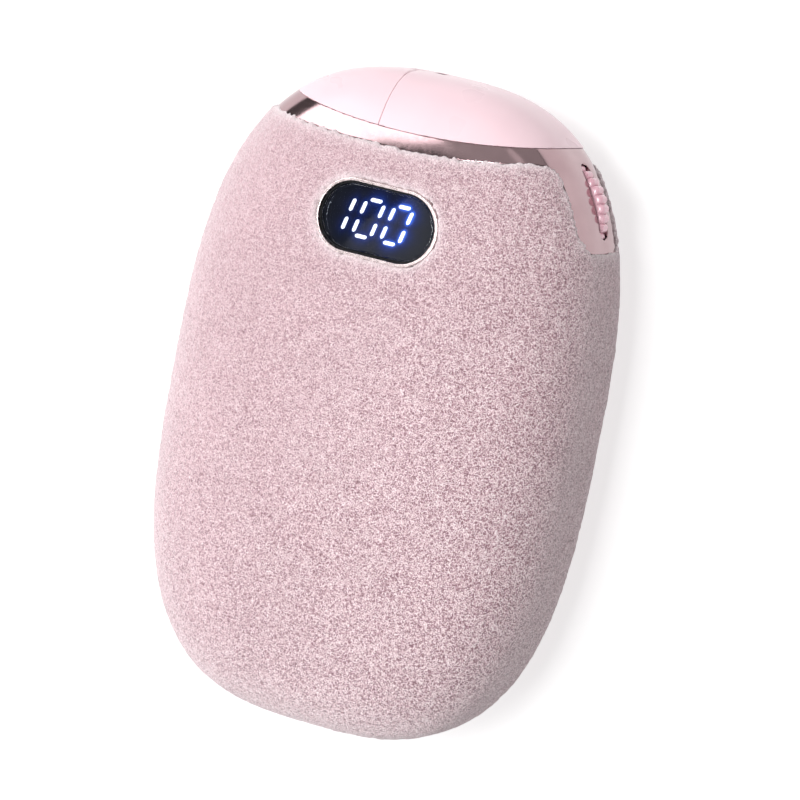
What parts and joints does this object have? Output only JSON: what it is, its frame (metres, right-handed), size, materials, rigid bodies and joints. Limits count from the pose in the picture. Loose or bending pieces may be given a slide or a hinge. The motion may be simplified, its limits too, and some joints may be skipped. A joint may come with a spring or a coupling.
{
  "type": "rechargeable hand warmer",
  "caption": "Palm-sized rounded hand warmer in a velvet cover, with display window, side thumbwheel and glossy cap with a swinging port cover.",
  "frame": {"origin": "middle of the flat back that the warmer lies on", "axes": "+Z out of the display face, +Y along the body towards the cap, +X towards the thumbwheel"},
  "size_m": [0.0692, 0.1048, 0.0325],
  "materials": {
    "velvet": "flocked velvet",
    "pink_shell": "moulded matt",
    "pink_gloss": "moulded gloss",
    "rose_chrome": "rose chrome plate",
    "rose_rim": "satin rose plate",
    "smoked_glass": "polished",
    "black_plastic": "moulded matt",
    "black_foam": "foam",
    "board_green": "solder mask",
    "steel": "plated",
    "aluminium": "mill finish",
    "amber_film": "polyimide film",
    "grey_foam": "foam",
    "cell_foil": "laminate foil",
    "white_plastic": "moulded matt",
    "red_lead": "silicone",
    "black_lead": "silicone"
  },
  "bodies": {
    "case": {"velvet_cover": "velvet", "front_shell": "pink_shell", "rear_shell": "pink_shell", "trim_ring": "rose_chrome", "cap_main": "pink_gloss", "port_cover_pin": "steel", "cap_deck": "pink_shell", "display_bezel": "rose_rim", "display_window": "smoked_glass", "window_gasket": "black_foam", "display_module": "black_plastic", "main_board": "board_green", "controller_chip": "black_plastic", "charger_chip": "black_plastic", "boost_coil": "black_foam", "power_switch_chip": "black_plastic", "usb_c_shell": "steel", "usb_c_tongue": "black_plastic", "battery_tray": "black_plastic", "battery_cell": "cell_foil", "battery_board": "board_green", "front_foam_pad": "grey_foam", "rear_foam_pad": "grey_foam", "front_heat_spreader": "aluminium", "rear_heat_spreader": "aluminium", "front_heater_film": "amber_film", "rear_heater_film": "amber_film", "front_thermistor": "white_plastic", "rear_thermistor": "white_plastic", "battery_lead_plus": "red_lead", "battery_lead_minus": "black_lead", "wheel_housing": "black_plastic", "press_switch": "black_plastic", "case_screw_1": "steel", "case_screw_2": "steel", "case_screw_3": "steel", "case_screw_4": "steel", "board_screw_1": "steel", "board_screw_2": "steel", "board_screw_3": "steel", "cap_screw_1": "steel", "cap_screw_2": "steel"},
    "port_cover": {"port_cover": "pink_gloss"},
    "wheel_carriage": {"wheel_carriage": "white_plastic", "wheel_axle": "steel", "wheel_encoder": "black_plastic", "switch_plunger": "white_plastic"},
    "thumb_wheel": {"thumb_wheel": "pink_gloss"}
  },
  "joints": [
    {"name": "port_cover_swing", "type": "hinge", "parent": "case", "child": "port_cover", "pos_m": [-0.00545, 0.05134, 0.016], "axis": [0, 0, -1], "range_deg": [0, 95]},
    {"name": "wheel_press", "type": "slide", "parent": "case", "child": "wheel_carriage", "axis": [-0.8704, -0.4923, 0], "range_m": [0, 0.0005], "stiffness_N_per_m": 1500, "springref_m": -0.0005},
    {"name": "wheel_turn", "type": "hinge", "parent": "wheel_carriage", "child": "thumb_wheel", "pos_m": [0.02167, 0.035, 0.0148], "axis": [0, 0, 1], "continuous": true}
  ]
}
